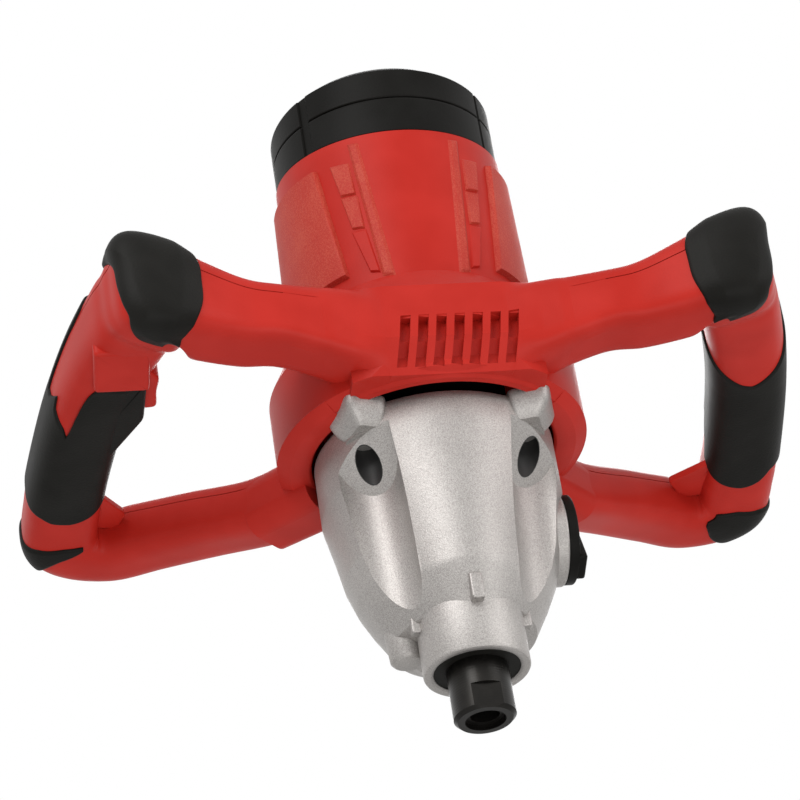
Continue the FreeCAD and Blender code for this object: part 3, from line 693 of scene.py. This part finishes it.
def stack(line, levels):
    """Rings of an outline at (height, inset) levels; the inset is along the outline's inward normal."""
    ahead = np.roll(line, -1, axis=0) - np.roll(line, 1, axis=0)
    normal = np.stack([ahead[:, 1], -ahead[:, 0]], -1) / np.linalg.norm(ahead, axis=1)[:, None]
    turn = np.sum(line[:, 0] * np.roll(line[:, 1], -1) - line[:, 1] * np.roll(line[:, 0], -1))
    inward = -normal * np.sign(turn)
    rings = [np.column_stack([line + inward * inset, np.full(len(line), z)]) for z, inset in levels]
    return np.array(rings)


def soft_levels(low, high, radius):
    """Levels of a stack with rounded edges: inset = r (1 - cos), lift = r (1 - sin) of the bend."""
    bend = np.radians(np.linspace(90, 0, 6))
    inset = radius * (1 - np.cos(bend))
    lift = radius * (1 - np.sin(bend))
    return list(zip(low + lift, inset)) + list(zip((high - lift)[::-1], inset[::-1]))


# %% Block, boot and trigger
# Below its waist the block's underside rises towards the front.
BLOCK_REAR, BLOCK_SLOPE, BLOCK_WAIST = -19, 0.085, 141
block_line = outline([(-142, -44), (-119.4, -44), (-118.4, BLOCK_REAR), (-141, BLOCK_REAR)])
boot_line = outline([(-139, -20.5), (-119.2, -20.5), (-119.2, 6), (-134, 38), (-147, 30)])
trigger_line = outline([(-125, -24.6), (-117.5, -24.6), (-113.8, -19), (-114.6, -10), (-113.9, 1),
                        (-117, 1.6), (-125, 1.6)])
block = stack(block_line, soft_levels(127.6, 154, 1.6))
block[..., 2] += np.where(block[..., 2] < BLOCK_WAIST, BLOCK_SLOPE * (BLOCK_REAR - block[..., 1]), 0)
piece("switch_block", *tube(block), "red")
piece("switch_boot", *tube(stack(boot_line, soft_levels(129.7, 153.6, 2.2))), "rubber")
piece("trigger_skin", *tube(stack(trigger_line, soft_levels(132.9, 147.1, 1.5))), "red", "trigger",
      body="trigger")

# %% [markdown]
# ## Webs and cord inlet
#
# A thin web stiffens each inner corner between grip and rear arm. At the back of the left handle a
# short bush takes the supply cord. A cylinder would need its edges bevelled afterwards, so the bush
# is turned, like all round pieces below, from a few rows of radius and height.

# %% Webs
WEB_TIPS = {"right": (118, 81), "left": (123, 83)}
for side, word in SIDES:
    web = outline([(137, 64), WEB_TIPS[word], (126, 94), (141, 92)], rounding=4)
    piece(f"corner_web_{word}", *tube(flip(stack(web, soft_levels(132.6, 136, 0.8)), side)), "red")

# %% Inlet bush
INLET = (-122, 0, 131.5)
BUSH = [(3.6, 103), (5.6, 103), (5.6, 115.4), (5.2, 116.4), (4.6, 116.8), (3.6, 116.8)]


def lathe(rows, x=0.0, y=0.0, z=0.0, axis="z", count=96):
    """Rings of (radius, height) rows about an axis through (x, y, z): r cos and r sin across, h along it."""
    turn = np.linspace(0, 2 * np.pi, count, endpoint=False)
    radius, height = np.array(rows, float).T[:, :, None]
    parts = [radius * np.cos(turn), radius * np.sin(turn)]
    parts.insert("xyz".index(axis), height + 0 * turn)
    return np.stack(parts, -1) + (x, y, z)


def closed_lathe(rows, *place, **words):
    """Points and faces of a turned ring whose outline closes on itself."""
    rings = lathe(list(rows) + list(rows[:1]), *place, **words)
    return rings, grid_faces(rings.shape[0], rings.shape[1], True)


piece("inlet_bush", *closed_lathe(BUSH, *INLET, axis="y", count=48), "black", "cable_inlet")

# %% [markdown]
# ## Gearbox casting
#
# The casting is a bowl about the motor's axis whose front is planed to a bowed panel that narrows
# towards the spindle. Planing a turned bowl with a Boolean would leave a hard edge. So each level is
# one outline, a parabola for the panel and an arc for the bowl, which ease into each other.

# %% Casting outline
# Rows of the panel: height, y of its front, x and y of its edge. Then heights against the bowl's radius.
PANEL_ROWS = np.array([
    (19, -21.2, 13.6, -13.8), (23, -22.4, 15.2, -15.4), (37, -27.5, 19.5, -18.6), (60, -30, 21.3, -21.4),
    (86, -32.6, 23.5, -26.0), (99, -34.3, 24.2, -28.6), (109.5, -35.1, 24.5, -29.6),
    (111, -34.2, 24.2, -28.6)], float)
BOWL = ([19, 20, 21.5, 34.4, 43.4, 54.2, 68.8, 83.7, 109.5, 111],
        [23, 25, 29.5, 36.7, 41, 44.5, 47, 50, 50, 49])
PANEL_WEAR, EASE_ANGLE = 6, 0.6


def raised(flat, height):
    """Flat points of shape (levels, points, 2), each level at its own height."""
    return np.concatenate([flat, np.broadcast_to(height[:, :, None], flat.shape[:2] + (1,))], axis=-1)


def casting_rings():
    """Outline at each height: y = front + (edge_y - front) (x / edge_x)^2, then an arc about the motor."""
    height = np.linspace(PANEL_ROWS[0, 0], PANEL_ROWS[-1, 0], 140)[:, None]
    rows = (np.interp(height, PANEL_ROWS[:, 0], column) for column in PANEL_ROWS.T[1:])
    front, edge_x, edge_y = (soften(row, PANEL_WEAR) for row in rows)
    x = edge_x * np.linspace(0, 1, 30)
    panel = np.stack([x, front + (edge_y - front) * (x / edge_x) ** 2], -1)
    start = np.arctan2(edge_y - MOTOR_Y, edge_x)
    swing = start + (np.pi / 2 - start) * np.linspace(0, 1, 100)
    bowl = np.interp(height, *BOWL)
    reach = np.hypot(edge_x, edge_y - MOTOR_Y)
    radius = bowl + (reach - bowl) * np.clip(1 - (swing - start) / EASE_ANGLE, 0, 1) ** 2
    arc = np.stack([radius * np.cos(swing), MOTOR_Y + radius * np.sin(swing)], -1)
    half = np.concatenate([panel[:, :-1], arc], axis=1)
    return raised(np.concatenate([half, half[:, -2:0:-1] * (-1, 1)], axis=1), height)


casting = piece("gear_casting", *tube(casting_rings()), "cast", "gearbox_housing", crease=30)

# %% [markdown]
# ## Scoops, screw wells and painted shade
#
# On both sides of the panel a leaning scoop makes room for the screwdriver, and its slanted roof
# carries the screw hole. They could be part of the outlines above, but cutting them out of the full
# bowl keeps their edges crisp. A dark sleeve lines each front hole as painted shade, because little
# light reaches so deep.

# %% Scoops
SCREWS = [(x, y) for x in (33.0, -33.0) for y in (-13.7, 43.36)]
SCOOP_RADIUS, SCOOP_FOOT = 14.5, 18.0
FOOT_MIDDLE, TOP_MIDDLE = (33.6, -17.6), (36.5, -19.5)
OUTWARDS, PANELWARDS = np.array([0.767, -0.641]), np.array([-0.641, -0.767])
ROOF_LEVEL, ROOF_SLOPE = 90.5, 1.25 * OUTWARDS + 0.45 * PANELWARDS


def scoop(side):
    """A leaning round cut; its roof is the plane z = level + 1.25 s + 0.45 t through the screw's axis.

    s runs outwards from the motor's axis and t towards the front panel.
    """
    turn = np.linspace(0, 2 * np.pi, 90, endpoint=False)
    ring = SCOOP_RADIUS * np.stack([np.cos(turn), np.sin(turn)], -1)
    foot = ring + FOOT_MIDDLE
    top = ring + TOP_MIDDLE
    roof = ROOF_LEVEL + (top - SCREWS[0]) @ ROOF_SLOPE
    rings = [np.column_stack([foot, np.full(len(foot), SCOOP_FOOT)]), np.column_stack([top, roof])]
    return tube(flip(np.array(rings), side))


bored(casting, scoop(1), scoop(-1))

# %% Screw holes and their painted shade sleeves
FRONT_SCREWS = {"right": SCREWS[0], "left": SCREWS[2]}
BORE = [(5.2, 60), (5.2, 107.5)]
# (radius, height) rows of the dark sleeve that is painted shade inside a front hole.
SHADE_SLEEVE = [(5.25, 70), (5.25, 107.6), (4.95, 107.6), (4.95, 70)]
bored(casting, *[tube(lathe(BORE, x, y, count=64)) for x, y in SCREWS])
# Each front hole gets a sleeve in the dark carbon look: painted shade deep in the hole.
for side, word in SIDES:
    sleeve = closed_lathe(SHADE_SLEEVE, *FRONT_SCREWS[word], count=64)
    shade_sleeve = piece(f"painted_shade_sleeve_{word}", *sleeve, "cast", look="carbon")
    bored(shade_sleeve, scoop(side))

# %% [markdown]
# ## Corner lugs
#
# At its two front corners the casting spreads into lugs that reach under the bowl's rim. Each could
# be pulled out of the casting by hand, but as an outline of its own it grows from a small foot to
# its full size like a corbel, and the same shape, a little larger, cuts the lip back round it.

# %% Lugs and their seats
LUG = [(24, -22), (25.5, -30.5), (39.5, -34.2), (42, -33), (47.5, -14), (40, -2), (24, -6)]
LUG_MIDDLE = np.array([31.0, -17.0])
# (height, share of the full outline) of each level.
LUG_LEVELS = np.array([(101.2, 0.58), (102.6, 0.71), (104.4, 0.81), (106.4, 0.9), (108.5, 0.96),
                       (110.5, 0.99), (111.6, 1), (112.3, 0.995), (112.6, 0.98)])
SEAT_GROWTH, SEAT_LIFT = 1.05, 4


def lug_rings(grow=1.0, lift=0.0):
    """At each level the outline is middle + grow share (line - middle)."""
    height, share = LUG_LEVELS.T[:, :, None]
    line = outline(LUG, rounding=5) - LUG_MIDDLE
    return raised(LUG_MIDDLE + grow * share[:, :, None] * line, height + lift)


for side, word in SIDES:
    piece(f"casting_lug_{word}", *tube(flip(lug_rings(), side)), "cast", crease=60)
    bored(bowl_lip, tube(flip(lug_rings(SEAT_GROWTH, SEAT_LIFT), side)))

# %% [markdown]
# ## Screw bosses
#
# Four round posts stand on the casting where its screws reach up into the motor bowl. They could be
# joined to the casting by a Boolean, but posts that run into it look the same and keep their quads.

# %% Posts
BOSS_TOP = 118.6


def round_end(radius, length, bend, end):
    """Rows of a post that runs down from its free end, whose edge is an arc with the radius bend."""
    turn = np.radians(np.linspace(0, 90, 8))
    rim = list(zip(radius - bend + bend * np.sin(turn), end - bend + bend * np.cos(turn)))
    return [(0.01, end), *rim, (radius, end - length)]


post = round_end(radius=8.2, length=18, bend=2.4, end=BOSS_TOP)
for k, (x, y) in enumerate(SCREWS):
    piece(f"screw_boss_{k}", *tube(lathe(post, x, y, count=64)), "cast")

# %% [markdown]
# ## Gear selector
#
# On the right a round boss carries the knob that shifts the gears. Disc and lever are one piece that
# rides on the knob's own body, so it turns when the fork slides. The lever is stacked flat and then
# turned by a formula, not by the object's rotation, because every piece keeps the model's origin.

# %% Boss and knob
BOSS_END, SELECTOR_Z = 46.9, 67
LEVER_TURN = math.radians(-72)
selector_axis = (0, MOTOR_Y, SELECTOR_Z, "x")
boss = round_end(radius=19.2, length=20, bend=1.2, end=BOSS_END)
disc = round_end(radius=18.6, length=4.0, bend=0.8, end=BOSS_END + 4.2)
lever_line = outline([(-10, -3.4), (17.8, -6.5), (17.8, 6.5), (-10, 3.4)], step=0.5, rounding=8)
lever_levels = soft_levels(BOSS_END + 1.5, BOSS_END + 7.4, 1.2)
forth, across, out = stack(lever_line, lever_levels).transpose(2, 0, 1)
lever = np.stack([out, MOTOR_Y - forth * math.cos(LEVER_TURN) - across * math.sin(LEVER_TURN),
                  SELECTOR_Z + forth * math.sin(LEVER_TURN) - across * math.cos(LEVER_TURN)], -1)
knob = joined([tube(lathe(disc, *selector_axis)), tube(lever)])
piece("selector_boss", *tube(lathe(boss, *selector_axis)), "cast")
piece("selector_grip", *knob, "black", "selector_knob", body="selector_knob")

# %% [markdown]
# ## Collar, bearing boss and ribs
#
# The clamping collar ends the casting, and a boss for the layshaft's bearing, a rib and two ears
# stand round it. They are separate turned or stacked pieces that run into the bowl, because a weld
# of so many surfaces would gain nothing that shows.

# %% Collar and ribs
LAYSHAFT_END = (-24.23, 13.0, 12.7)
LAYSHAFT_BOSS = [(0.01, 0), (5.4, 0), (6.3, 0.5), (7.2, 1.6), (9, 26)]
COLLAR = [(17.5, 9), (17.5, 0.9), (18.2, 0.2), (19, 0), (20.3, 0), (21.1, 0.3), (21.5, 1),
          (21.5, 26), (17.5, 26)]
rib_line = outline([(-2.6, -26.2), (2.6, -26.2), (2.6, -17), (-2.6, -17)], step=0.4, rounding=4)
ear_line = outline([(20, -5), (24.3, -5), (24.3, -0.5), (20, -0.5)], step=0.4, rounding=3)
ear = stack(ear_line, soft_levels(17.2, 24, 0.8))
piece("layshaft_boss", *tube(lathe(LAYSHAFT_BOSS, *LAYSHAFT_END, count=64)), "cast")
piece("clamp_collar", *closed_lathe(COLLAR), "cast")
piece("collar_rib", *tube(stack(rib_line, soft_levels(19.5, 31, 1.0))), "cast")
for side, word in SIDES:
    piece(f"casting_ear_{word}", *tube(flip(ear, side)), "cast")

# %% [markdown]
# ## Barrel relief
#
# Raised fields on the barrel are plates over a patch of its cone. Displacement could raise them, but
# it blurs their edges. A patch is given by four corners, each an angle from the front and a height;
# between them the plate is bilinear, and its thickness falls to zero along the rim. Shingles are thin
# at the top and thick at the bottom.

# %% Relief plates
# Height against the barrel's radius, and the millimetres that one degree takes on it.
BARREL = ([110, 142, 170, 266.5], [65, 65, 50.7, 49])
BARREL_DEGREE = 0.87
PLATE_ROOT, PLATE_SINK = 1.0, 0.02


def on_barrel(angle, height, grow):
    """Points around the motor's axis: angle from the front in degrees, grow above the barrel's cone."""
    return about_motor(np.radians(angle), np.interp(height, *BARREL) + grow, height)


def plate(name, corners, thick, bevel, thin, look, count=40):
    """A raised plate over four corners, from top left round to bottom left.

    Thickness = thick (thin + (1 - thin) q) times the share of the bevel that the rim distance fills,
    where q runs from 0 at the top to 1 at the bottom.
    """
    p, q = np.meshgrid(ease(count), ease(count))
    weight = np.stack([(1 - p) * (1 - q), p * (1 - q), p * q, (1 - p) * q], -1)
    angle, height = (weight @ corners).transpose(2, 0, 1)
    top = np.abs(corners[0] - corners[1])[0]
    bottom = np.abs(corners[3] - corners[2])[0]
    tall = np.abs(corners[0] - corners[3])[1]
    wide = (top * (1 - q) + bottom * q) * BARREL_DEGREE
    rim = np.minimum(np.minimum(p, 1 - p) * wide, np.minimum(q, 1 - q) * tall)
    grow = thick * (thin + (1 - thin) * q) * np.clip(rim / bevel, 0, 1)
    skins = on_barrel(angle, height, grow - PLATE_SINK), on_barrel(angle, height, -PLATE_ROOT)
    piece(name, *shell(*skins), "red", look=look)


# %% Fields and shingles
# Corners as (degrees, height), thickness, bevel, share of the thickness at the top.
FIELDS = {
    "ridge": ([(23.2, 242), (29, 243), (21.4, 170.5), (15.2, 169.5)], 0.9, 1.2, 1.0),
    "shingle_top": ([(29.5, 233), (40, 235), (36, 217), (28, 215.6)], 1.2, 0.5, 0.35),
    "shingle_middle": ([(27.4, 215), (36.4, 216.4), (32.6, 198.4), (26.2, 197)], 1.2, 0.5, 0.35),
    "shingle_low": ([(25.8, 196.4), (33.4, 197.4), (26.9, 174), (22, 172.6)], 1.2, 0.5, 0.35),
    "field": ([(47.5, 236.5), (95, 240), (97, 174), (37.6, 175.4)], 2.4, 0.8, 1.0),
}
for side, word in SIDES:
    for field, (corners, thick, bevel, thin) in FIELDS.items():
        look = "red" if field == "shingle_low" else "grained"
        plate(f"barrel_{field}_{word}", np.array(corners, float) * (side, 1), thick, bevel, thin, look)

# %% [markdown]
# ## Cap bands
#
# The black cap sits on a tilted joint and its skirt is parted into two tiers of four strips. A bump
# could draw the lines between them, but would vanish at the outline. As each strip is a thin shell
# with a rounded rim, the dark lines are true gaps.

# %% Bands
CAP_RADIUS, CAP_FOOT, CAP_TILT, CAP_TOP = 47.8, 252.9, 7.14, 279.4
# Millimetres that one degree takes on the cap, and the height of its skirt.
CAP_DEGREE, SKIRT = 0.83, 27
BAND_THICK, BAND_EDGE, BAND_ROOT = 0.9, 0.5, 1.0
STRIPS = [(-50, 52.3), (52.8, 128), (128.6, 232), (232.6, 305.5)]
TIERS = {"low": (0.0, 0.535), "high": (0.55, 1.0)}


def on_cap(angle, height, grow):
    """Points around the cap; height runs from 0 at foot - tilt cos(angle), the joint, to 1 at the bevel."""
    turn = np.radians(angle)
    foot = CAP_FOOT - CAP_TILT * np.cos(turn)
    return about_motor(turn, CAP_RADIUS + grow, foot + (CAP_TOP - foot) * height)


def band(name, first, last, low, high):
    """One strip of the skirt, as thick as a quarter round of its rim distance says."""
    angle, height = np.meshgrid(np.linspace(first, last, 90), low + (high - low) * ease(24))
    across = np.minimum(angle - first, last - angle) * CAP_DEGREE
    rim = np.minimum(across, np.minimum(height - low, high - height) * SKIRT)
    grow = BAND_THICK * quarter_round(rim, BAND_EDGE)
    piece(name, *shell(on_cap(angle, height, grow), on_cap(angle, height, -BAND_ROOT)), "black")


for k, strip in enumerate(STRIPS):
    for tier, shares in TIERS.items():
        band(f"cap_band_{tier}_{k}", *strip, *shares)

# %% [markdown]
# ## Floor and surround
#
# The tool hangs well above a plain pale floor. One white world would be simpler, but it would wash
# out the colours. So white is only what camera, mirror and glass rays see, and the object itself is
# lit by a softer grey.

# %% Floor
FLOOR_HALF, FLOOR_Z = 20, -1.3
floor_mesh = bpy.data.meshes.new("floor")
floor_corners = [(x * FLOOR_HALF, y * FLOOR_HALF, FLOOR_Z) for x, y in ((-1, -1), (1, -1), (1, 1), (-1, 1))]
floor_mesh.from_pydata(floor_corners, [], [(0, 1, 2, 3)])
floor = bpy.data.objects.new("floor", floor_mesh)
scene.collection.objects.link(floor)
floor_paint = Paint("pale_floor").set(Base_Color=(0.93, 0.93, 0.925), Roughness=0.9)
floor.data.materials.append(floor_paint.material)
print(f"floor: {2 * FLOOR_HALF} m wide at {FLOOR_Z} m")

# %% World
GREY, WHITE = 0.55, 1.0
world = bpy.data.worlds.new("studio")
scene.world = world
world.use_nodes = True
studio = Graph(world.node_tree)
seen = studio.node("ShaderNodeLightPath", out="Is Camera Ray")
for ray in ("Is Glossy Ray", "Is Transmission Ray"):
    seen = seen.math("MAXIMUM", studio.node("ShaderNodeLightPath", out=ray))
surround = studio.tree.nodes["Background"].inputs
studio.fill(surround["Color"], (1, 1, 1))
studio.fill(surround["Strength"], studio.node("ShaderNodeMapRange", Value=seen, To_Min=GREY, To_Max=WHITE))
print("world nodes:", len(studio.tree.nodes))

# %% [markdown]
# ## Studio light
#
# Four square softboxes stand round the tool: a key from the upper left, a fill from the right, a weak
# one from below for the underside that the camera sees, and one behind for the edges. A sun would
# need no aiming, but its small hard highlights would hide the grain.

# %% Softboxes
MIDDLE = Vector((0, 0, 0.14))


def softbox(name, place, width, power):
    """A square lamp at place that faces the middle of the tool."""
    lamp = bpy.data.lights.new(name, "AREA")
    lamp.size = width
    lamp.energy = power
    holder = bpy.data.objects.new(name, lamp)
    scene.collection.objects.link(holder)
    facing = (Vector(place) - MIDDLE).to_track_quat("Z", "Y")
    holder.matrix_world = Matrix.LocRotScale(Vector(place), facing, None)
    print(f"{name}: {power} W")


softbox("key", (-0.9, -1.3, 0.9), width=0.9, power=16)
softbox("fill", (1.2, -1.0, 0.3), width=1.0, power=7)
softbox("under", (0.1, -0.9, -0.9), width=0.8, power=5)
softbox("rim", (0.3, 1.1, 1.0), width=0.8, power=10)

# %% [markdown]
# ## Viewpoint
#
# The camera stands low in front of the tool and looks up at it, so that the spindle leads the eye.
# Aiming it at a point would leave its roll open, so its stand and three turns are given, as fitted
# to matching points of both handles. A long lens keeps parallel lines nearly parallel.

# %% Camera
STAND = (-0.24290, -1.09145, -0.58992)
TURNS = (123.195, 7.817, -6.805)
camera = bpy.data.cameras.new("camera")
camera.lens = 144
camera.sensor_width = 36
camera.clip_end = 50
viewpoint = bpy.data.objects.new("camera", camera)
scene.collection.objects.link(viewpoint)
viewpoint.matrix_world = Matrix.LocRotScale(Vector(STAND), Euler([math.radians(a) for a in TURNS]), None)
scene.camera = viewpoint
print(f"camera: {camera.lens:.0f} mm lens at {STAND}")
